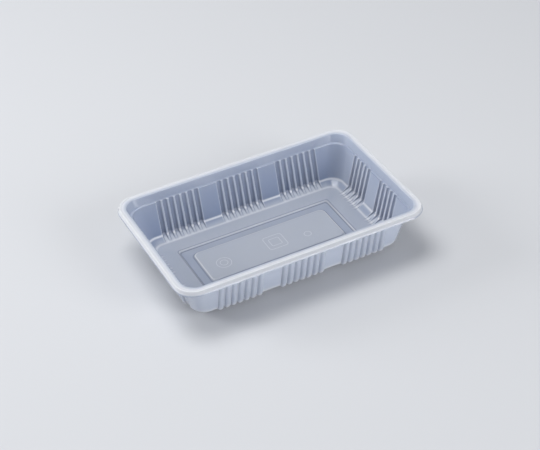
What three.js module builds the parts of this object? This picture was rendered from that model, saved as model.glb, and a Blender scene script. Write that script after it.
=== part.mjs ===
// Bento container: a shallow rectangular food tray, thermoformed in one piece from a thin plastic sheet.
// Units are millimetres. +X runs along the long side, +Y to the back, +Z up.
// The origin is on the resting plane, under the middle of the tray.
import * as THREE from 'three';

// Overall size, across the flat top of the flange and from the resting plane to its highest line
const LENGTH = 200;
const WIDTH = 127.5;
const HEIGHT = 40.6;
const SHEET = 0.5;

// Flange, with a raised bead along its outer edge and a skirt that hangs from it
const RIM_RADIUS = 14.8;
const FLANGE_WIDTH = 4.9;
const FLANGE_INNER_ROUND = 0.5;
const BEAD_HEIGHT = 0.3;
const BEAD_WIDTH = 1.2;
const BEAD_FLANK = 0.5;
const EDGE_ROUND = 0.4;
const SKIRT_DROP = 3.7;
const SKIRT_FLARE = 0.5;
const SKIRT_LIP_HEIGHT = 1.2;
const SKIRT_LIP_FLARE = 0.8;

// Smooth band under the flange, which ends on a narrow ledge
const BAND_HEIGHT = 6.9;
const BAND_DRAFT = 1.9;
const LEDGE_RADIUS = 11.5;
const LEDGE_LIP = 0.3;

// Fluted wall, its foot line and the chamfered foot below it
const WALL_DRAFT = 6.6;
const FOOT_RADIUS = 11;
const FOOT_ROUND = 1.2;
const CHAMFER_RUN = 5.5;
const CHAMFER_RISE = 3.8;
const FLOOR_RADIUS = 8;

// Flutes: grooves that bulge outward, in groups with plain wall between them
const FLUTE_PITCH = 5.26;
const FLUTE_WIDTH = 3.9;
const FLUTE_TOP_DEPTH = 1.1;
const FLUTE_FOOT_DEPTH = 2.3;
const FLUTE_WIDENING = 0.35;
const TOE_SHARE = 0.5;
const LONG_SIDE_FLUTES = 7;
const SHORT_SIDE_FLUTES = 5;
const LONG_SIDE_GAP = 14.2;
const SHORT_SIDE_GAP = 12.3;

// Floor: a flat border, a channel that the tray stands on, and a panel inside the channel
const BORDER_AT_ENDS = 14.6;
const BORDER_AT_BACK = 13.3;
const BORDER_AT_FRONT = 18.3;
const CHANNEL_DEPTH = 1.6;
const CHANNEL_WIDTH = 9;
const CHANNEL_SLOPE = 1.1;
const CHANNEL_RADIUS = 2;
const PANEL_RADIUS = 4.5;

// Plan outlines: a side's straight stretch is the first share of its progress, its corner the rest
const PLAN_SIDES = 4;
const STRAIGHT_SHARE = 0.5;
const CORNER_FACET = 1.8;
const FEWEST_CORNER_FACETS = 2;

// Section of a flute: place across it from -1 to 1, and share of its depth
const FLUTE_SECTION = [
  [-1, 0],
  [-0.72, 0.7],
  [-0.36, 1],
  [0.36, 1],
  [0.72, 0.7],
  [1, 0],
];

// Levels and insets that the sizes above fix
const floorLevel = SHEET + CHANNEL_DEPTH;
const footLevel = floorLevel + CHAMFER_RISE;
const ledgeLevel = HEIGHT - BAND_HEIGHT;
const flangeLevel = HEIGHT - BEAD_HEIGHT;
const ledgeOuterInset = FLANGE_WIDTH + BAND_DRAFT;
const ledgeInset = ledgeOuterInset + FLUTE_TOP_DEPTH + LEDGE_LIP;
const footInset = ledgeInset + WALL_DRAFT;
const floorInset = footInset + CHAMFER_RUN;

// A line part of the way from one line to another
function lineBetween(line, other, share) {
  const mix = (name) => THREE.MathUtils.lerp(line[name], other[name], share);
  return { inset: mix('inset'), level: mix('level'), radius: mix('radius'), flute: mix('flute') };
}

// A rounded bend: two lines, each a short way from the bend along one of the faces that meet there
function roundedBend(before, bend, after, size) {
  return [before, after].map((other) =>
    lineBetween(bend, other, size / sectionPoint(bend).distanceTo(sectionPoint(other))));
}

// The upper face of the sheet from the panel outward to the lower edge of the skirt. Each line says
// how far it lies inside the rim, its level and its corner radius. A fluted line has a flute depth,
// and a line of the floor pattern lies inside the border as well.
function upperFace() {
  const floorEdge = { inset: floorInset, level: floorLevel, radius: FLOOR_RADIUS, flute: 0 };
  const foot = { inset: footInset, level: footLevel, radius: FOOT_RADIUS, flute: FLUTE_FOOT_DEPTH };
  const toe = { ...lineBetween(foot, floorEdge, TOE_SHARE), flute: FLUTE_FOOT_DEPTH };
  const ledge = { inset: ledgeInset, level: ledgeLevel, radius: LEDGE_RADIUS, flute: FLUTE_TOP_DEPTH };
  const beadFoot = BEAD_WIDTH + BEAD_FLANK;
  const skirtFoot = HEIGHT - SKIRT_DROP;
  const skirtReach = SKIRT_FLARE + SKIRT_LIP_FLARE;
  return [
    { inset: floorInset + CHANNEL_WIDTH, level: floorLevel, radius: PANEL_RADIUS, pattern: true },
    { inset: floorInset + CHANNEL_WIDTH - CHANNEL_SLOPE, level: SHEET, radius: PANEL_RADIUS, pattern: true },
    { inset: floorInset + CHANNEL_SLOPE, level: SHEET, radius: CHANNEL_RADIUS, pattern: true },
    { inset: floorInset, level: floorLevel, radius: CHANNEL_RADIUS, pattern: true },
    floorEdge,
    toe,
    ...roundedBend(toe, foot, ledge, FOOT_ROUND),
    ledge,
    { inset: ledgeOuterInset, level: ledgeLevel, radius: LEDGE_RADIUS, flute: 0 },
    { inset: FLANGE_WIDTH, level: flangeLevel - FLANGE_INNER_ROUND, radius: LEDGE_RADIUS },
    { inset: FLANGE_WIDTH - FLANGE_INNER_ROUND, level: flangeLevel, radius: LEDGE_RADIUS },
    { inset: beadFoot, level: flangeLevel, radius: RIM_RADIUS - beadFoot },
    { inset: BEAD_WIDTH, level: HEIGHT, radius: RIM_RADIUS - BEAD_WIDTH },
    { inset: EDGE_ROUND, level: HEIGHT, radius: RIM_RADIUS - EDGE_ROUND },
    { inset: 0, level: HEIGHT - EDGE_ROUND, radius: RIM_RADIUS },
    { inset: -SKIRT_FLARE, level: skirtFoot + SKIRT_LIP_HEIGHT, radius: RIM_RADIUS + SKIRT_FLARE },
    { inset: -skirtReach, level: skirtFoot, radius: RIM_RADIUS + skirtReach },
  ];
}

// Place of a line in the section: how far out it lies, and its level
function sectionPoint(line) {
  const border = line.pattern ? BORDER_AT_ENDS : 0;
  return new THREE.Vector2(-line.inset - border, line.level);
}

// Unit vector square to the section from one line to the next, on the under side of the sheet
function underNormal(from, to) {
  const along = sectionPoint(to).sub(sectionPoint(from)).normalize();
  return new THREE.Vector2(along.y, -along.x);
}

// The same lines on the under side, one sheet thickness away, with mitred bends
function underFace(lines) {
  return lines.map((line, k) => {
    const before = underNormal(lines[Math.max(k - 1, 0)], lines[Math.max(k, 1)]);
    const after = k < lines.length - 1 ? underNormal(line, lines[k + 1]) : before;
    const first = k === 0 ? new THREE.Vector2(0, -1) : before;
    const mitre = first.clone().add(after).normalize();
    const shift = mitre.multiplyScalar(SHEET / mitre.dot(after));
    return {
      ...line,
      inset: line.inset - shift.x,
      level: line.level + shift.y,
      radius: Math.max(line.radius + shift.x, CHANNEL_RADIUS - SHEET),
      under: true,
    };
  });
}

// Middles of the flutes along one side, as many groups as its straight stretch holds
function fluteMiddles(straight, perGroup, gap) {
  const groupWidth = perGroup * FLUTE_PITCH;
  const groups = Math.max(0, Math.floor((straight + gap) / (groupWidth + gap)));
  const middles = [];
  for (let g = 0; g < groups; g += 1) {
    const groupMiddle = (g - (groups - 1) / 2) * (groupWidth + gap);
    for (let i = 0; i < perGroup; i += 1) {
      middles.push(groupMiddle + (i - (perGroup - 1) / 2) * FLUTE_PITCH);
    }
  }
  return middles;
}

const longStraight = LENGTH - 2 * (floorInset + FLOOR_RADIUS);
const shortStraight = WIDTH - 2 * (floorInset + FLOOR_RADIUS);
const longMiddles = fluteMiddles(longStraight, LONG_SIDE_FLUTES, LONG_SIDE_GAP);
const shortMiddles = fluteMiddles(shortStraight, SHORT_SIDE_FLUTES, SHORT_SIDE_GAP);

// Points of one fluted side: place along the side, and how far it bulges outward there.
// The grooves are wider on the under side, so that their flanks keep some thickness.
function fluteStations(middles, line) {
  if (line.flute === undefined) {
    return [];
  }
  const half = FLUTE_WIDTH / 2 + (line.under ? FLUTE_WIDENING : 0);
  return middles.flatMap((middle) =>
    FLUTE_SECTION.map(([across, share]) => [middle + across * half, share * line.flute]));
}

// Plan outline of a line, counter-clockwise: four sides, each followed by its rounded corner.
// A point's progress is the number of sides behind it, and tells where it is on its way round.
function planOutline(line) {
  const border = line.pattern
    ? [BORDER_AT_ENDS, BORDER_AT_BACK, BORDER_AT_ENDS, BORDER_AT_FRONT]
    : [0, 0, 0, 0];
  const halfX = LENGTH / 2 - line.inset - border[0];
  const halfY = (WIDTH - border[1] - border[3]) / 2 - line.inset;
  const shift = new THREE.Vector2(0, (border[3] - border[1]) / 2);
  const outline = [];
  for (let side = 0; side < PLAN_SIDES; side += 1) {
    const [reach, halfSide] = side % 2 === 0 ? [halfX, halfY] : [halfY, halfX];
    const place = (along, out, progress) => {
      const point = new THREE.Vector2(out, along).rotateAround(new THREE.Vector2(), side * Math.PI / 2);
      outline.push(Object.assign(point.add(shift), { progress: side + progress }));
    };
    const stations = fluteStations(side % 2 === 0 ? shortMiddles : longMiddles, line);
    stations.forEach(([along, bulge], n) => {
      place(along, reach + bulge, STRAIGHT_SHARE * (n + 1) / (stations.length + 1));
    });
    const facets = Math.round(line.radius * Math.PI / 2 / CORNER_FACET);
    const steps = Math.max(FEWEST_CORNER_FACETS, facets);
    for (let step = 0; step <= steps; step += 1) {
      const share = step / steps;
      const along = halfSide - line.radius * (1 - Math.sin(share * Math.PI / 2));
      const out = reach - line.radius * (1 - Math.cos(share * Math.PI / 2));
      place(along, out, THREE.MathUtils.lerp(STRAIGHT_SHARE, 1, share));
    }
  }
  return outline;
}

// Closed surface grown line by line: each line becomes a ring of points, joined to the ring before
class SheetSurface {
  constructor() {
    this.positions = [];
    this.indices = [];
    this.last = null;
  }

  addRing(line) {
    const outline = planOutline(line);
    const start = this.positions.length / 3;
    outline.forEach((point) => this.positions.push(point.x, point.y, line.level));
    return { outline, start, faceDown: Boolean(line.under) };
  }

  // Flat face inside one ring, up or down
  capRing(ring) {
    THREE.ShapeUtils.triangulateShape([...ring.outline], []).forEach((triangle) => {
      const turnsLeft = THREE.ShapeUtils.area(triangle.map((n) => ring.outline[n])) > 0;
      const [a, b, c] = triangle.map((n) => ring.start + n);
      this.indices.push(a, ...(turnsLeft === ring.faceDown ? [c, b] : [b, c]));
    });
  }

  // Strip of triangles between two rings. It steps along whichever ring is behind on its way round,
  // so a plain ring meets a fluted one too.
  addStrip(from, to) {
    const ahead = (ring, n) => {
      const lap = n === ring.outline.length ? PLAN_SIDES : 0;
      return n > ring.outline.length ? Infinity : lap + ring.outline[n % ring.outline.length].progress;
    };
    const index = (ring, n) => ring.start + (n % ring.outline.length);
    let i = 0;
    let j = 0;
    while (i < from.outline.length || j < to.outline.length) {
      const stepTo = ahead(to, j + 1) <= ahead(from, i + 1);
      const apex = stepTo ? index(to, j + 1) : index(from, i + 1);
      this.indices.push(index(from, i), index(to, j), apex);
      i += stepTo ? 0 : 1;
      j += stepTo ? 1 : 0;
    }
  }

  grow(line) {
    const ring = this.addRing(line);
    if (this.last === null) {
      this.capRing(ring);
    } else {
      this.addStrip(this.last, ring);
    }
    this.last = ring;
  }

  finish() {
    this.capRing(this.last);
    const geometry = new THREE.BufferGeometry();
    geometry.setAttribute('position', new THREE.Float32BufferAttribute(this.positions, 3));
    geometry.setIndex(this.indices);
    geometry.computeVertexNormals();
    return geometry;
  }
}

// The whole tray: out along the upper face, round the lower edge of the skirt, and back underneath
function trayGeometry() {
  const upper = upperFace();
  const surface = new SheetSurface();
  upper.forEach((line) => surface.grow(line));
  underFace(upper).reverse().forEach((line) => surface.grow(line));
  return surface.finish();
}

const naturalPolypropylene = new THREE.MeshStandardMaterial({
  color: new THREE.Color(0.72, 0.76, 0.84),
  roughness: 0.3,
  metalness: 0,
});

const tray = new THREE.Mesh(trayGeometry(), naturalPolypropylene);
tray.name = 'tray';

const bentoContainer = new THREE.Group();
bentoContainer.add(tray);

export default bentoContainer;
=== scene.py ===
"""Bento container: a thermoformed food tray of translucent natural plastic, in one piece."""

import logging
import math
from dataclasses import dataclass, field, replace
from enum import Enum

import bpy
from mathutils import Euler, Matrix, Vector


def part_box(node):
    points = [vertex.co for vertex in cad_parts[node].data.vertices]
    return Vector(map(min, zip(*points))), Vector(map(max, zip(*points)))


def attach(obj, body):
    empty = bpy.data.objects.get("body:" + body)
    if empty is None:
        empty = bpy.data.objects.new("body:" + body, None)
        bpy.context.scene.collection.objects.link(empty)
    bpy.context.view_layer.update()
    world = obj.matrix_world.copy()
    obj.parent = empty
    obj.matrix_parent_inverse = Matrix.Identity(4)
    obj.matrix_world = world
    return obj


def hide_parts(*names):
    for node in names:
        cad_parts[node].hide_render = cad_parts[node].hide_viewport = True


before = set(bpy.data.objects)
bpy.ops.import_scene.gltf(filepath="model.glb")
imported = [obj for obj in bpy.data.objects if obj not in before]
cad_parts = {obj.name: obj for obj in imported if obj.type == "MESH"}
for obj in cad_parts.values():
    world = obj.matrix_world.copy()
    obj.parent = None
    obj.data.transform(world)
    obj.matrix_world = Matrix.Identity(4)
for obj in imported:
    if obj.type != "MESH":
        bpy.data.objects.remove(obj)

LOG = logging.getLogger("bento_container")
Tint = tuple[float, float, float]
Place = tuple[float, float, float]
MM = 0.001
FACE_VALUES = ("inset", "level", "radius", "flute", "hold", "border", "gauge_and_light", "end_light", "ridge",
               "petal", "groove", "flank", "kept_long", "painted_glow")
# marks that peak in the middle of a bend: its white, partly painted highlight, its painted shade and
# painted glints
BEND_MARKS = ("whitening_and_highlight", "shade", "front_shade", "end_shade", "spark")


def deselect_all() -> None:
    """Leaves object mode with nothing selected."""
    if bpy.context.object and bpy.context.object.mode != "OBJECT":
        bpy.ops.object.mode_set(mode="OBJECT")
    bpy.ops.object.select_all(action="DESELECT")


def make_active(piece: bpy.types.Object) -> None:
    """Selects one object alone and makes it the active one.

    Args:
        piece: The object to work on.
    """
    deselect_all()
    piece.select_set(True)
    bpy.context.view_layer.objects.active = piece


@dataclass(frozen=True)
class SheetLine:
    """One line of the formed sheet, seen in plan as a rounded rectangle.

    The insets run inward from the flat top of the flange. flute is how far the flutes bulge out of the
    line, and border how much of the floor's flat border the line leaves outside it. hold is 1 where the
    points along the sides keep the places of the flutes, and 0 where they spread over the line's own
    straight stretch.

    The rest is what forming did to the sheet, with the light and shade that are painted on it.
    gauge_and_light is the share of its first thickness that is left, which sets how light the sheet
    shows, and end_light the painted light that the short sides get more, a painted shade where it is
    below 0. ridge and petal say how white the ridges between the flutes and the flutes themselves are,
    partly whitening of the formed sheet and partly painted highlight, and groove and flank give the
    painted shade in the flutes and on their sides. The long sides keep ridge, petal and flank by the
    share kept_long. whitening_and_highlight says how white the bend itself shows, partly whitening of
    the bent sheet and partly painted highlight, and shade how dark, a painted shade. front_shade and
    end_shade are the painted shade that the bend shows instead at the front and at the short sides,
    spark is the painted glint on its ridges, and painted_glow the painted light that whitens the sheet
    on the under side, apart from the ridges.

    bend is how far from the line its rounding starts, and steps is the number of faces across it.
    """

    inset: float
    level: float
    radius: float
    flute: float = 0.0
    hold: float = 1.0
    border: float = 0.0
    gauge_and_light: float = 1.0
    end_light: float = 0.0
    ridge: float = 0.0
    petal: float = 0.0
    groove: float = 0.0
    flank: float = 0.0
    kept_long: float = 1.0
    whitening_and_highlight: float = 0.0
    shade: float = 0.0
    front_shade: float = 0.0
    end_shade: float = 0.0
    spark: float = 0.0
    painted_glow: float = 0.0
    bend: float = 0.0
    steps: int = 2

    def mixed(self, other: "SheetLine", share: float) -> "SheetLine":
        """A line part of the way to another.

        Args:
            other: The line that share 1 gives.
            share: How far towards it, from 0 to 1.

        Returns:
            The line between the two.
        """
        mixed = {name: getattr(self, name) + (getattr(other, name) - getattr(self, name)) * share
                 for name in FACE_VALUES}
        return replace(self, **mixed)


class Side(Enum):
    """The four sides of the tray, counter-clockwise from +X."""

    RIGHT = 0
    BACK = 1
    LEFT = 2
    FRONT = 3

    @property
    def is_end(self) -> bool:
        """True for the two short sides."""
        return self in (Side.RIGHT, Side.LEFT)


@dataclass(frozen=True)
class SheetSection:
    """Sizes of the formed sheet's section, from the floor panel out to the skirt.

    toe_share is how far down the chamfer the flutes keep their full depth, and hem how far up the wall
    the white and painted glow of the foot reach, both as shares of the face. apron is how far the painted
    light and shade of the toes run onto the floor. The gauges are the shares of the sheet's thickness that
    are left, and the end lights the painted light that the short sides have more, a painted shade where
    below 0. longest_bend is the most of a face that one bend may take.
    """

    sheet: float = 0.5 * MM
    rim_radius: float = 14.8 * MM
    flange_width: float = 4.9 * MM
    bead_height: float = 0.3 * MM
    bead_width: float = 1.2 * MM
    bead_flank: float = 0.5 * MM
    skirt_drop: float = 3.7 * MM
    skirt_flare: float = 0.5 * MM
    skirt_lip_height: float = 1.2 * MM
    skirt_lip_flare: float = 0.8 * MM
    band_height: float = 6.9 * MM
    band_draft: float = 1.9 * MM
    ledge_radius: float = 11.5 * MM
    ledge_width: float = 1.4 * MM
    wall_draft: float = 6.6 * MM
    foot_radius: float = 11.0 * MM
    chamfer_run: float = 5.5 * MM
    chamfer_rise: float = 3.8 * MM
    floor_radius: float = 8.0 * MM
    flute_top_depth: float = 1.1 * MM
    flute_foot_depth: float = 2.3 * MM
    channel_depth: float = 1.6 * MM
    channel_width: float = 9.0 * MM
    channel_slope: float = 1.1 * MM
    channel_radius: float = 2.0 * MM
    panel_radius: float = 4.5 * MM
    toe_share: float = 0.5
    hem: float = 0.11
    apron: float = 3.6 * MM
    border_at_back: float = 13.3 * MM
    small_bend: float = 0.45 * MM
    line_bend: float = 0.95 * MM
    wide_bend: float = 1.4 * MM
    wide_bend_steps: int = 4
    longest_bend: float = 0.45
    panel_gauge: float = 0.49
    floor_gauge: float = 0.44
    channel_gauge: float = 0.34
    chamfer_gauge: float = 0.29
    foot_gauge: float = 0.05
    ledge_gauge: float = 0.19
    band_gauge: float = 0.28
    # painted light that the short sides get more, a painted shade where below 0
    floor_end_light: float = -0.05
    slope_end_light: float = 0.5
    chamfer_end_light: float = -0.12
    wall_end_light: float = 0.32
    band_end_light: float = 0.07

    def corners(self, height: float) -> list[SheetLine]:
        """The lines where the sheet bends, from the panel out to the lower edge of the skirt.

        Args:
            height: Level of the highest line of the tray.

        Returns:
            The lines, innermost first.
        """
        floor = self.sheet + self.channel_depth
        foot = floor + self.chamfer_rise
        ledge = height - self.band_height
        flange = height - self.bead_height
        skirt_foot = height - self.skirt_drop
        ledge_outer = self.flange_width + self.band_draft
        ledge_inner = ledge_outer + self.ledge_width
        foot_inset = ledge_inner + self.wall_draft
        floor_inset = foot_inset + self.chamfer_run
        toe_inset = foot_inset + self.chamfer_run * self.toe_share
        toe_level = foot - self.chamfer_rise * self.toe_share
        toe_radius = self.foot_radius + (self.floor_radius - self.foot_radius) * self.toe_share
        inner_channel = floor_inset + self.channel_width
        bead_foot = self.bead_width + self.bead_flank
        lip = self.skirt_flare + self.skirt_lip_flare
        small = {"bend": self.small_bend}
        line_bend = {"bend": self.line_bend}
        wide = {"bend": self.wide_bend, "steps": self.wide_bend_steps}
        pattern = {"hold": 0.0, "border": 1.0}
        pressed = {"end_light": self.floor_end_light, **pattern}
        rim = {"hold": 0.0, "bend": self.small_bend}
        wall_foot = SheetLine(foot_inset, foot, self.foot_radius, self.flute_foot_depth,
                              gauge_and_light=self.foot_gauge, end_light=self.wall_end_light, ridge=0.5, groove=0.9,
                              flank=0.4, whitening_and_highlight=0.85, spark=1.0, painted_glow=1.0, **wide)
        wall_top = SheetLine(ledge_inner, ledge, self.ledge_radius, self.flute_top_depth,
                             gauge_and_light=self.ledge_gauge, end_light=self.band_end_light, ridge=0.3, groove=0.3,
                             flank=0.2, whitening_and_highlight=0.25, end_shade=0.5, **small)
        # Each line also sets how white and dark its sheet shows: painted highlights and glints on bends,
        # ridges and flutes, painted shade along bends, in flutes and on flanks, a painted glow on the
        # under side and painted light at the short sides.
        return [
            SheetLine(inner_channel + 2 * self.wide_bend, floor, self.panel_radius - self.wide_bend,
                      gauge_and_light=self.panel_gauge, **pattern),
            SheetLine(inner_channel, floor, self.panel_radius, gauge_and_light=self.panel_gauge, whitening_and_highlight=1.0,
                      front_shade=1.0, **pattern, **line_bend),
            SheetLine(inner_channel - self.channel_slope, self.sheet, self.panel_radius,
                      gauge_and_light=self.channel_gauge, shade=0.6, **pressed, **small),
            SheetLine(floor_inset + self.channel_slope, self.sheet, self.channel_radius,
                      gauge_and_light=self.channel_gauge, shade=1.0, **pressed, **line_bend),
            SheetLine(floor_inset + self.channel_slope / 2, self.sheet + self.channel_depth / 2,
                      self.channel_radius, gauge_and_light=self.floor_gauge, end_light=self.slope_end_light,
                      shade=0.1, **pattern, **small),
            SheetLine(floor_inset, floor, self.channel_radius, gauge_and_light=self.floor_gauge, shade=1.0,
                      **pressed, **line_bend),
            SheetLine(floor_inset + self.apron, floor, self.floor_radius - self.apron,
                      gauge_and_light=self.floor_gauge, end_light=self.floor_end_light, kept_long=0.0, **small),
            SheetLine(floor_inset, floor, self.floor_radius, gauge_and_light=self.floor_gauge,
                      end_light=self.floor_end_light, petal=0.35, flank=1.0, kept_long=0.0, whitening_and_highlight=0.6,
                      **wide),
            SheetLine(toe_inset, toe_level, toe_radius, self.flute_foot_depth, gauge_and_light=self.chamfer_gauge,
                      end_light=self.chamfer_end_light, ridge=0.35, petal=0.4, flank=1.0, painted_glow=0.6,
                      **wide),
            wall_foot,
            replace(wall_foot.mixed(wall_top, self.hem), ridge=0.4, groove=0.65, flank=0.35, whitening_and_highlight=0.0,
                    spark=0.0, painted_glow=0.0, bend=self.line_bend, steps=1),
            wall_top,
            SheetLine(ledge_outer, ledge, self.ledge_radius, gauge_and_light=self.ledge_gauge,
                      end_light=self.band_end_light, **small),
            SheetLine(self.flange_width, flange, self.ledge_radius, gauge_and_light=self.band_gauge,
                      end_light=self.band_end_light, whitening_and_highlight=0.15, **rim),
            SheetLine(bead_foot, flange, self.rim_radius - bead_foot, shade=0.2, **rim),
            SheetLine(self.bead_width, height, self.rim_radius - self.bead_width, shade=0.15, **rim),
            SheetLine(0.0, height, self.rim_radius, whitening_and_highlight=0.3, **rim),
            SheetLine(-self.skirt_flare, skirt_foot + self.skirt_lip_height,
                      self.rim_radius + self.skirt_flare, whitening_and_highlight=0.1, **rim),
            # the lip: its low gauge and its shade are painted shade against the light its upturned face
            # catches
            SheetLine(-lip, skirt_foot, self.rim_radius + lip, hold=0.0, gauge_and_light=0.3, shade=0.55),
        ]

    def lines(self, height: float) -> list[SheetLine]:
        """The same lines with each bend rounded by a short curve.

        Args:
            height: Level of the highest line of the tray.

        Returns:
            All lines of the section, innermost first.
        """
        corners = self.corners(height)
        lines = [corners[0]]
        for before, corner, after in zip(corners, corners[1:], corners[2:]):
            lines.extend(self.rounded(before, corner, after))
        return lines + [corners[-1]]

    def rounded(self, before: SheetLine, corner: SheetLine, after: SheetLine) -> list[SheetLine]:
        """One bend as a short curve that starts and ends on the flat faces beside it.

        Args:
            before: The bend inside this one.
            corner: The bend to round.
            after: The bend outside this one.

        Returns:
            The lines of the curve.
        """
        start, end = self.bend_edge(corner, before), self.bend_edge(corner, after)
        curve = []
        for step in range(corner.steps + 1):
            share = step / corner.steps
            middle = start.mixed(corner, share).mixed(corner.mixed(end, share), share)
            peak = math.sin(math.pi * share) ** 2
            marks = {name: getattr(corner, name) * peak for name in BEND_MARKS}
            curve.append(replace(middle, **marks))
        return curve

    def bend_edge(self, corner: SheetLine, other: SheetLine) -> SheetLine:
        """Where the curve of a bend meets the flat face between it and another bend.

        Args:
            corner: The bend to round.
            other: The bend across the face.

        Returns:
            The line at which the curve starts or ends.
        """
        borders = abs(other.border - corner.border) * self.border_at_back
        run = abs(other.inset - corner.inset) + borders
        length = math.hypot(run, other.level - corner.level)
        return corner.mixed(other, min(corner.bend / length, self.longest_bend))


@dataclass(frozen=True)
class FlutePattern:
    """Groups of flutes along a side: grooves that bulge outward, with plain wall between groups."""

    count: int
    groups: int
    gap: float
    pitch: float = 5.26 * MM
    width: float = 3.9 * MM
    flank: float = 0.6
    shoulder: float = 1.1 * MM
    across: tuple[float, ...] = (-1.0, -0.88, -0.74, -0.56, -0.3, 0.0, 0.3, 0.56, 0.74, 0.88, 1.0)

    def stations(self) -> list[tuple[float, float | None]]:
        """Points along the side.

        Returns:
            The place of each point along the side, and its share of the flute's depth. The share is
            None on the plain wall beside a group.
        """
        group_pitch = self.count * self.pitch + self.gap
        stations = []
        for group in range(self.groups):
            middle = (group - (self.groups - 1) / 2) * group_pitch
            reach = ((self.count - 1) * self.pitch + self.width) / 2 + self.shoulder
            stations.append((middle - reach, None))
            for number in range(self.count):
                flute = middle + (number - (self.count - 1) / 2) * self.pitch
                stations += [(flute + u * self.width / 2, self.depth_share(u)) for u in self.across]
            stations.append((middle + reach, None))
        return stations

    def depth_share(self, across: float) -> float:
        """Share of the full depth at a place across the flute, from -1 to 1."""
        return math.sin(math.pi / 2 * min(1.0, (1.0 - abs(across)) / self.flank))


@dataclass(frozen=True)
class Station:
    """What the sheet went through at one point of an outline.

    share is the share of the flute's depth, and None on plain wall. corner says how far into a corner
    the point is, end how much of it belongs to a short side, and front how much to the front.
    """

    share: float | None
    corner: float
    end: float
    front: float


@dataclass
class TrayShell:
    """The whole tray: one sheet grown line by line, then given its thickness.

    corner_thinning_and_shade is the share of its thickness that the sheet loses in the middle of a drawn
    corner, partly real thinning and partly painted shade, and corner_shade the painted shade that the
    corner shows. under_fade is the share of the painted shade that the under side lacks. flank_peak
    brings the painted shade of a flute's flank to 1 half way up, and crease_loss says how fast a painted
    shade takes the white and painted highlight off a bend. smooth_angle is in degrees.
    """

    length: float
    width: float
    height: float
    section: SheetSection = field(default_factory=SheetSection)
    long_flutes: FlutePattern = FlutePattern(count=7, groups=3, gap=14.2 * MM)
    short_flutes: FlutePattern = FlutePattern(count=5, groups=2, gap=12.3 * MM)
    border_at_ends: float = 14.6 * MM
    border_at_front: float = 18.3 * MM
    corner_steps: int = 14
    # painted shade in drawn corners, partly real thinning of the sheet
    corner_thinning_and_shade: float = 0.5
    corner_shade: float = 0.18
    under_fade: float = 0.8
    flank_peak: float = 4.0
    crease_loss: float = 2.0
    smooth_angle: float = 40.0

    @classmethod
    def from_frame(cls) -> "TrayShell":
        """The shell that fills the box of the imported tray.

        Returns:
            The shell, not yet built.
        """
        low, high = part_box("tray")
        lip = SheetSection.skirt_flare + SheetSection.skirt_lip_flare
        return cls(high[0] - low[0] - 2 * lip, high[1] - low[1] - 2 * lip, high[2] - low[2])

    def outline(self, line: SheetLine) -> list[Vector]:
        """Points of one line, counter-clockwise, each side followed by its rounded corner.

        Args:
            line: The line of the section.

        Returns:
            The same number of points for every line.
        """
        half_x = self.length / 2 - line.inset - line.border * self.border_at_ends
        border_at_back = self.section.border_at_back
        borders = line.border * (border_at_back + self.border_at_front)
        half_y = (self.width - borders) / 2 - line.inset
        shift = Vector((0.0, line.border * (self.border_at_front - border_at_back) / 2, line.level))
        floor_line = next(c for c in self.section.corners(self.height) if c.bend and c.hold)
        points = []
        for side in Side:
            reach, half = (half_x, half_y) if side.is_end else (half_y, half_x)
            flutes = self.short_flutes if side.is_end else self.long_flutes
            full = (self.width if side.is_end else self.length) / 2 - floor_line.inset - floor_line.radius
            spread = line.hold + (1.0 - line.hold) * (half - line.radius) / full
            turn = Euler((0.0, 0.0, side.value * math.pi / 2)).to_matrix()
            for along, share in flutes.stations():
                out = reach + (share or 0.0) * line.flute
                points.append(turn @ Vector((out, along * spread, 0.0)) + shift)
            for step in range(self.corner_steps + 1):
                angle = step / self.corner_steps * math.pi / 2
                out = reach - line.radius * (1.0 - math.cos(angle))
                along = half - line.radius * (1.0 - math.sin(angle))
                points.append(turn @ Vector((out, along, 0.0)) + shift)
        return points

    def build(self) -> bpy.types.Object:
        """Models the shell.

        Returns:
            The finished piece, at the origin.
        """
        lines = self.section.lines(self.height)
        outlines = [self.outline(line) for line in lines]
        count = len(outlines[0])
        deselect_all()
        bpy.ops.mesh.primitive_circle_add(vertices=count, radius=self.width / 4, fill_type="NOTHING")
        shell = bpy.context.object
        shell.name = "tray_shell"
        self.place_ring(shell, 0, outlines[0])
        for number, outline in enumerate(outlines[1:], start=1):
            bpy.ops.object.mode_set(mode="EDIT")
            if number == 1:
                bpy.ops.mesh.select_all(action="SELECT")
            bpy.ops.mesh.extrude_region_move(TRANSFORM_OT_translate={"value": (0.0, 0.0, self.height)})
            bpy.ops.object.mode_set(mode="OBJECT")
            self.place_ring(shell, number * count, outline)
        self.close_panel(shell, count)
        self.mark_forming(shell, lines)
        self.thicken(shell)
        return shell

    def mark_forming(self, shell: bpy.types.Object, lines: list[SheetLine]) -> None:
        """Records on the mesh where the sheet was bent, where it was drawn out, and how thick it stayed,
        along with the painted highlights, painted shade and painted light that the finish shows there.

        Args:
            shell: The piece, with one ring of points for each line.
            lines: The lines of the section.
        """
        marks = {"whitening_and_highlight": [], "painted_shade": [], "gauge_and_light": [], "painted_glow": []}
        for line in lines:
            drawn = line.flute / self.section.flute_foot_depth
            for station in self.stations():
                deep = station.share or 0.0
                kept = line.kept_long + (1.0 - line.kept_long) * station.end
                # painted shade that a bend shows instead at the front and at the short sides
                away = max(line.front_shade * station.front, line.end_shade * station.end)
                # white of bends, partly whitening of the bent sheet and partly painted highlight; ridges
                # and flutes add painted highlights and glints
                white = line.whitening_and_highlight * max(0.0, 1.0 - self.crease_loss * away)
                if station.share is not None:
                    white += (line.ridge * kept + line.spark) * (1.0 - deep) + line.petal * kept * deep
                # painted shade in the flutes and on their flanks
                sides = line.flank * kept * self.flank_peak * deep * (1.0 - deep)
                dark = min(1.0, line.groove * deep + sides)
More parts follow.
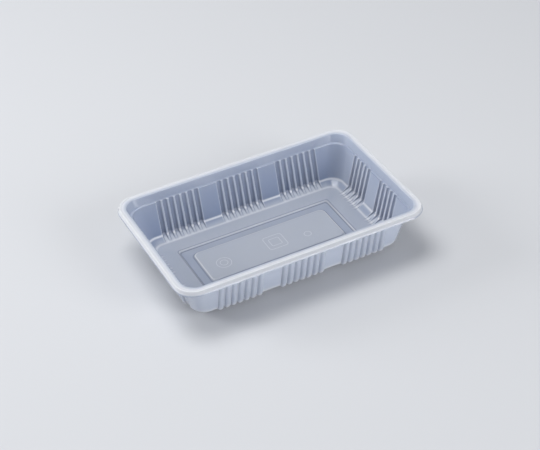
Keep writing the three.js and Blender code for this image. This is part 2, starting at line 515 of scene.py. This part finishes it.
                # painted shade in the drawn corners
                painted_corner_shade = self.corner_shade * station.corner * drawn
                marks["painted_shade"].append(max(dark, line.shade, away, painted_corner_shade))
                marks["whitening_and_highlight"].append(min(1.0, white) * (1.0 - dark))
                # the sheet thins in drawn corners, partly real thinning and partly painted shade, and the
                # short sides get painted light
                gauge_and_light = line.gauge_and_light * (1.0 - self.corner_thinning_and_shade * station.corner * drawn)
                marks["gauge_and_light"].append(gauge_and_light + line.end_light * station.end)
                # painted glow that whitens the under side of the flutes and the foot
                marks["painted_glow"].append(line.painted_glow * (1.0 if station.share is None else deep))
        for name, values in marks.items():
            shell.data.attributes.new(name, "FLOAT", "POINT").data.foreach_set("value", values)

    def stations(self) -> list[Station]:
        """What the sheet went through at each point of an outline.

        Returns:
            One station for each point, in the order of the outline.
        """
        stations = []
        sides = list(Side)
        for side, following in zip(sides, sides[1:] + sides[:1]):
            flutes = self.short_flutes if side.is_end else self.long_flutes
            end, next_end = float(side.is_end), float(following.is_end)
            front, next_front = float(side is Side.FRONT), float(following is Side.FRONT)
            stations += [Station(share, 0.0, end, front) for _, share in flutes.stations()]
            for step in range(self.corner_steps + 1):
                turned = step / self.corner_steps
                stations.append(Station(None, math.sin(math.pi * turned), end + (next_end - end) * turned,
                                        front + (next_front - front) * turned))
        return stations

    def place_ring(self, shell: bpy.types.Object, start: int, outline: list[Vector]) -> None:
        """Puts the newest ring of points on its line.

        Args:
            shell: The piece.
            start: Number of the ring's first point.
            outline: The places of its points.
        """
        for offset, point in enumerate(outline):
            shell.data.vertices[start + offset].co = point

    def close_panel(self, shell: bpy.types.Object, count: int) -> None:
        """Fills the innermost ring with the flat face of the floor panel, and turns all faces up.

        Args:
            shell: The piece, open in the middle.
            count: Number of points of a ring.
        """
        bpy.ops.object.mode_set(mode="EDIT")
        bpy.ops.mesh.select_mode(type="VERT")
        bpy.ops.mesh.select_all(action="DESELECT")
        bpy.ops.object.mode_set(mode="OBJECT")
        for vertex in list(shell.data.vertices)[:count]:
            vertex.select = True
        bpy.ops.object.mode_set(mode="EDIT")
        bpy.ops.mesh.edge_face_add()
        bpy.ops.mesh.select_all(action="SELECT")
        bpy.ops.mesh.normals_make_consistent(inside=False)
        bpy.ops.object.mode_set(mode="OBJECT")
        panel = max(shell.data.polygons, key=lambda face: len(face.vertices))
        if panel.normal.z < 0.0:
            bpy.ops.object.mode_set(mode="EDIT")
            bpy.ops.mesh.flip_normals()
            bpy.ops.object.mode_set(mode="OBJECT")

    def thicken(self, shell: bpy.types.Object) -> None:
        """Gives the sheet its thickness on the under side, marks that side, and smooths the shading.

        Args:
            shell: The piece as a surface, its faces up.
        """
        upper_points = len(shell.data.vertices)
        make_active(shell)
        solid = shell.modifiers.new("sheet", "SOLIDIFY")
        solid.thickness = self.section.sheet
        solid.offset = -1.0
        solid.use_even_offset = True
        bpy.ops.object.modifier_apply(modifier=solid.name)
        self.mark_under_side(shell, upper_points)
        bpy.ops.object.shade_smooth_by_angle(angle=math.radians(self.smooth_angle))

    def mark_under_side(self, shell: bpy.types.Object, upper_points: int) -> None:
        """Records which points lie on the under side, where a painted glow whitens the foot and the flutes
        and the painted shade is fainter.

        Args:
            shell: The piece with its thickness, the points of the upper side first.
            upper_points: Number of points on the upper side.
        """
        attributes = shell.data.attributes
        outside = [float(vertex.index >= upper_points) for vertex in shell.data.vertices]
        painted_glows = [mark.value for mark in attributes["painted_glow"].data]
        whites = [mark.value for mark in attributes["whitening_and_highlight"].data]
        # painted glow on the under side, added to the white of the bends
        white_and_glow = [max(whitening_and_highlight, painted_glow * under)
                    for whitening_and_highlight, painted_glow, under in zip(whites, painted_glows, outside)]
        attributes["whitening_and_highlight"].data.foreach_set("value", white_and_glow)
        painted_shades = [mark.value for mark in attributes["painted_shade"].data]
        # the painted shade shows fainter on the under side
        faded = [painted_shade * (1.0 - self.under_fade * under) for painted_shade, under in zip(painted_shades, outside)]
        attributes["painted_shade"].data.foreach_set("value", faded)
        attributes.remove(attributes["painted_glow"])
        attributes.new("outside", "FLOAT", "POINT").data.foreach_set("value", outside)


@dataclass(frozen=True)
class PanelMark:
    """A plain line embossed on the floor panel, a ring or a rounded square.

    half is half the straight part of an edge, which is 0 for a ring, and radius its round part.
    """

    x: float
    y: float
    half: float
    radius: float
    line: float = 0.45 * MM

    def relief(self, tree: bpy.types.NodeTree, place: bpy.types.NodeSocket) -> bpy.types.NodeSocket:
        """Height of the mark, from 0 to 1.

        Args:
            tree: The material's nodes.
            place: The object's own coordinates.

        Returns:
            The socket of the height.
        """
        shifted = self.step(tree, "SUBTRACT", place, (self.x, self.y, 0.0)).outputs["Vector"]
        level = self.step(tree, "MULTIPLY", shifted, (1.0, 1.0, 0.0)).outputs["Vector"]
        folded = self.step(tree, "ABSOLUTE", level).outputs["Vector"]
        inner = self.step(tree, "SUBTRACT", folded, (self.half, self.half, 0.0)).outputs["Vector"]
        outer = self.step(tree, "MAXIMUM", inner).outputs["Vector"]
        away = self.step(tree, "LENGTH", outer).outputs["Value"]
        edge = tree.nodes.new("ShaderNodeMath")
        edge.operation = "COMPARE"
        edge.inputs[1].default_value = self.radius
        edge.inputs[2].default_value = self.line / 2
        tree.links.new(away, edge.inputs[0])
        return edge.outputs["Value"]

    def step(self, tree: bpy.types.NodeTree, kind: str, first: bpy.types.NodeSocket,
             second: Place = (0.0, 0.0, 0.0)) -> bpy.types.ShaderNode:
        """One step of vector arithmetic.

        Args:
            tree: The material's nodes.
            kind: Blender's name of the step.
            first: The vector to start from.
            second: The fixed vector that goes with it.

        Returns:
            The node of the step.
        """
        node = tree.nodes.new("ShaderNodeVectorMath")
        node.operation = kind
        tree.links.new(first, node.inputs[0])
        node.inputs[1].default_value = second
        return node


@dataclass(frozen=True)
class NaturalPlastic:
    """Finish of the tray: milky translucent plastic, glossy, whiter where the sheet was bent, with painted
    highlights, painted shade and painted light from the sheet's attributes.
    """

    name: str = "natural_polypropylene"
    thin_tint: Tint = (0.24, 0.30, 0.43)
    thick_tint: Tint = (0.84, 0.855, 0.90)
    # lighter tint of the under side: a painted glow of light through the sheet
    under_side_glow_tint: Tint = (0.71, 0.755, 0.87)
    # painted shade
    painted_shade_tint: Tint = (0.08, 0.10, 0.16)
    # white of bends and ridges, partly whitening and partly painted highlight; also the lines of the panel
    # marks
    white_tint: Tint = (0.90, 0.92, 0.98)
    painted_shade_strength: float = 0.62
    whitening_and_highlight_strength: float = 0.92
    under_side_glow_strength: float = 0.75
    opacity: float = 0.8
    roughness: float = 0.14
    roughness_spread: float = 0.06
    refraction: float = 1.49
    flow_scale: float = 22.0
    flow_detail: float = 3.0
    grain_scale: float = 260.0
    grain_detail: float = 2.0
    grain_strength: float = 0.12
    bump_depth: float = 0.2 * MM
    coat: float = 0.3
    coat_roughness: float = 0.18
    scatter: float = 1.6 * MM
    mark_strength: float = 0.6
    mark_bump: float = 0.5
    marks: tuple[PanelMark, ...] = (
        PanelMark(x=-40.2 * MM, y=0.0, half=0.0, radius=5.8 * MM),
        PanelMark(x=-40.2 * MM, y=0.0, half=0.0, radius=3.0 * MM),
        PanelMark(x=5.0 * MM, y=3.0 * MM, half=5.4 * MM, radius=2.4 * MM),
        PanelMark(x=5.0 * MM, y=3.0 * MM, half=3.0 * MM, radius=1.2 * MM),
        PanelMark(x=31.0 * MM, y=-1.0 * MM, half=0.0, radius=2.8 * MM),
    )

    def material(self) -> bpy.types.Material:
        """Builds the material.

        Returns:
            A procedural material in object coordinates and the sheet's own attributes.
        """
        material = bpy.data.materials.new(self.name)
        material.use_nodes = True
        tree = material.node_tree
        shader = tree.nodes["Principled BSDF"]
        shader.inputs["IOR"].default_value = self.refraction
        shader.inputs["Alpha"].default_value = self.opacity
        shader.inputs["Coat Weight"].default_value = self.coat
        shader.inputs["Coat Roughness"].default_value = self.coat_roughness
        shader.inputs["Subsurface Weight"].default_value = 1.0
        shader.inputs["Subsurface Scale"].default_value = self.scatter
        shader.inputs["Subsurface Radius"].default_value = (1.0, 1.0, 1.0)
        place = tree.nodes.new("ShaderNodeTexCoord").outputs["Object"]
        flow = self.noise(tree, place, self.flow_scale, self.flow_detail)
        # the tint runs from thin to thick sheet and also carries painted light at the short sides and
        # painted shade in the drawn corners
        tint = self.blended(tree, self.attribute(tree, "gauge_and_light", 1.0), self.thin_tint, self.thick_tint)
        # then painted shade, a painted glow on the under side and the white of bends, partly whitening and
        # partly painted highlight
        for name, strength, other in (("painted_shade", self.painted_shade_strength, self.painted_shade_tint),
                                      ("outside", self.under_side_glow_strength, self.under_side_glow_tint),
                                      ("whitening_and_highlight", self.whitening_and_highlight_strength, self.white_tint)):
            tint = self.blended(tree, self.attribute(tree, name, strength), tint, other)
        relief = self.marked(tree, place)
        tint = self.blended(tree, self.scaled(tree, relief, self.mark_strength), tint, self.white_tint)
        tree.links.new(tint, shader.inputs["Base Color"])
        gloss = tree.nodes.new("ShaderNodeMapRange")
        gloss.inputs["To Min"].default_value = self.roughness - self.roughness_spread
        gloss.inputs["To Max"].default_value = self.roughness + self.roughness_spread
        tree.links.new(flow, gloss.inputs["Value"])
        tree.links.new(gloss.outputs["Result"], shader.inputs["Roughness"])
        texture = self.noise(tree, place, self.grain_scale, self.grain_detail)
        grain = self.bump(tree, texture, self.grain_strength)
        raised = self.bump(tree, relief, self.mark_bump)
        tree.links.new(grain.outputs["Normal"], raised.inputs["Normal"])
        tree.links.new(raised.outputs["Normal"], shader.inputs["Normal"])
        return material

    def bump(self, tree: bpy.types.NodeTree, height: bpy.types.NodeSocket,
             strength: float) -> bpy.types.ShaderNode:
        """A fine relief from a height.

        Args:
            tree: The material's nodes.
            height: The socket of the height.
            strength: How strongly it shows.

        Returns:
            The node of the relief.
        """
        bump = tree.nodes.new("ShaderNodeBump")
        bump.inputs["Strength"].default_value = strength
        bump.inputs["Distance"].default_value = self.bump_depth
        tree.links.new(height, bump.inputs["Height"])
        return bump

    def marked(self, tree: bpy.types.NodeTree, place: bpy.types.NodeSocket) -> bpy.types.NodeSocket:
        """Height of all marks of the panel together.

        Args:
            tree: The material's nodes.
            place: The object's own coordinates.

        Returns:
            The socket of the height.
        """
        height = self.marks[0].relief(tree, place)
        for mark in self.marks[1:]:
            both = tree.nodes.new("ShaderNodeMath")
            both.operation = "MAXIMUM"
            tree.links.new(height, both.inputs[0])
            tree.links.new(mark.relief(tree, place), both.inputs[1])
            height = both.outputs["Value"]
        return height

    def noise(self, tree: bpy.types.NodeTree, place: bpy.types.NodeSocket, scale: float,
              detail: float) -> bpy.types.NodeSocket:
        """A noise over the object's own coordinates.

        Args:
            tree: The material's nodes.
            place: The object's own coordinates.
            scale: How fine the noise is.
            detail: How many finer layers it has.

        Returns:
            The socket of the noise.
        """
        noise = tree.nodes.new("ShaderNodeTexNoise")
        noise.inputs["Scale"].default_value = scale
        noise.inputs["Detail"].default_value = detail
        tree.links.new(place, noise.inputs["Vector"])
        return noise.outputs["Fac"]

    def attribute(self, tree: bpy.types.NodeTree, name: str, strength: float) -> bpy.types.NodeSocket:
        """A value that the sheet carries, times a strength.

        Args:
            tree: The material's nodes.
            name: Name of the attribute.
            strength: What it is multiplied by.

        Returns:
            The socket of the product.
        """
        attribute = tree.nodes.new("ShaderNodeAttribute")
        attribute.attribute_name = name
        return self.scaled(tree, attribute.outputs["Fac"], strength)

    def scaled(self, tree: bpy.types.NodeTree, value: bpy.types.NodeSocket,
               strength: float) -> bpy.types.NodeSocket:
        """A value times a strength, kept between 0 and 1.

        Args:
            tree: The material's nodes.
            value: The socket of the value.
            strength: What it is multiplied by.

        Returns:
            The socket of the product.
        """
        scaled = tree.nodes.new("ShaderNodeMath")
        scaled.operation = "MULTIPLY"
        scaled.use_clamp = True
        scaled.inputs[1].default_value = strength
        tree.links.new(value, scaled.inputs[0])
        return scaled.outputs["Value"]

    def blended(self, tree: bpy.types.NodeTree, factor: bpy.types.NodeSocket,
                first: bpy.types.NodeSocket | Tint, second: Tint) -> bpy.types.NodeSocket:
        """Two colours mixed by a factor.

        Args:
            tree: The material's nodes.
            factor: Share of the second colour.
            first: A colour, or the socket that gives it.
            second: A fixed colour.

        Returns:
            The socket of the mixed colour.
        """
        blend = tree.nodes.new("ShaderNodeMix")
        blend.data_type = "RGBA"
        tree.links.new(factor, blend.inputs["Factor"])
        colours = [socket for socket in blend.inputs if socket.type == "RGBA"]
        colours[1].default_value = (*second, 1.0)
        if isinstance(first, tuple):
            colours[0].default_value = (*first, 1.0)
        else:
            tree.links.new(first, colours[0])
        return next(socket for socket in blend.outputs if socket.type == "RGBA")


@dataclass(frozen=True)
class SoftLamp:
    """A square lamp: where it hangs, the length of its edge in metres and its power in watts."""

    name: str
    place: Place
    size: float
    power: float

    def hang(self) -> bpy.types.Object:
        """Hangs the lamp, pointed at the tray.

        Returns:
            The lamp.
        """
        data = bpy.data.lights.new(self.name, "AREA")
        data.size = self.size
        data.energy = self.power
        lamp = bpy.data.objects.new(self.name, data)
        lamp.location = self.place
        lamp.rotation_euler = (-Vector(self.place)).to_track_quat("-Z", "Y").to_euler()
        bpy.context.scene.collection.objects.link(lamp)
        return lamp


@dataclass(frozen=True)
class Studio:
    """Pale floor, soft lamps and the camera."""

    floor_colour: Tint = (0.62, 0.63, 0.65)
    floor_roughness: float = 0.9
    floor_size: float = 6.0
    sky_colour: Tint = (0.86, 0.89, 0.95)
    sky_strength: float = 0.35
    lamps: tuple[SoftLamp, ...] = (
        SoftLamp("top", (-0.3, 0.3, 1.6), 1.0, 17.0),
        SoftLamp("back", (-1.3, 0.95, 0.65), 0.7, 13.0),
        SoftLamp("front", (0.75, -1.5, 0.8), 0.8, 12.5),
    )
    azimuth: float = -25.49
    elevation: float = 37.72
    roll: float = -3.09
    lens: float = 99.1
    sensor: float = 36.0
    eye: Place = (-0.3821, -0.8010, 0.7084)
    nearest: float = 0.05
    farthest: float = 20.0

    def floor(self) -> bpy.types.Object:
        """Lays the pale floor.

        Returns:
            The floor.
        """
        deselect_all()
        bpy.ops.mesh.primitive_plane_add(size=self.floor_size)
        floor = bpy.context.object
        floor.name = "floor"
        material = bpy.data.materials.new("pale_floor")
        material.use_nodes = True
        shader = material.node_tree.nodes["Principled BSDF"]
        shader.inputs["Base Color"].default_value = (*self.floor_colour, 1.0)
        shader.inputs["Roughness"].default_value = self.floor_roughness
        floor.data.materials.append(material)
        return floor

    def sky(self) -> None:
        """Soft even light from all round."""
        world = bpy.data.worlds.new("studio")
        world.use_nodes = True
        background = world.node_tree.nodes["Background"]
        background.inputs["Color"].default_value = (*self.sky_colour, 1.0)
        background.inputs["Strength"].default_value = self.sky_strength
        bpy.context.scene.world = world

    def camera(self) -> bpy.types.Object:
        """Sets the camera at the photograph's viewing angle.

        Returns:
            The camera.
        """
        data = bpy.data.cameras.new("camera")
        data.lens = self.lens
        data.sensor_width = self.sensor
        data.clip_start = self.nearest
        data.clip_end = self.farthest
        camera = bpy.data.objects.new("camera", data)
        pitch = math.radians(90.0 - self.elevation)
        turn = Euler((pitch, 0.0, math.radians(self.azimuth)), "XYZ").to_matrix()
        roll = Euler((0.0, 0.0, math.radians(self.roll))).to_matrix()
        camera.matrix_world = (turn @ roll).to_4x4()
        camera.location = self.eye
        bpy.context.scene.collection.objects.link(camera)
        bpy.context.scene.camera = camera
        return camera

    def build(self) -> None:
        """Sets up the whole studio."""
        self.sky()
        self.floor()
        for lamp in self.lamps:
            lamp.hang()
        self.camera()
        bpy.context.scene.view_settings.view_transform = "Standard"


def main() -> None:
    """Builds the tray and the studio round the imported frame."""
    logging.basicConfig(level=logging.INFO)
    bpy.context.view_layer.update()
    Studio().build()
    shell = TrayShell.from_frame().build()
    shell.data.materials.append(NaturalPlastic().material())
    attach(shell, "root")
    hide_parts("tray")
    shell.data.calc_loop_triangles()
    LOG.info("%s: %d triangles", shell.name, len(shell.data.loop_triangles))


if __name__ == "__main__":
    main()
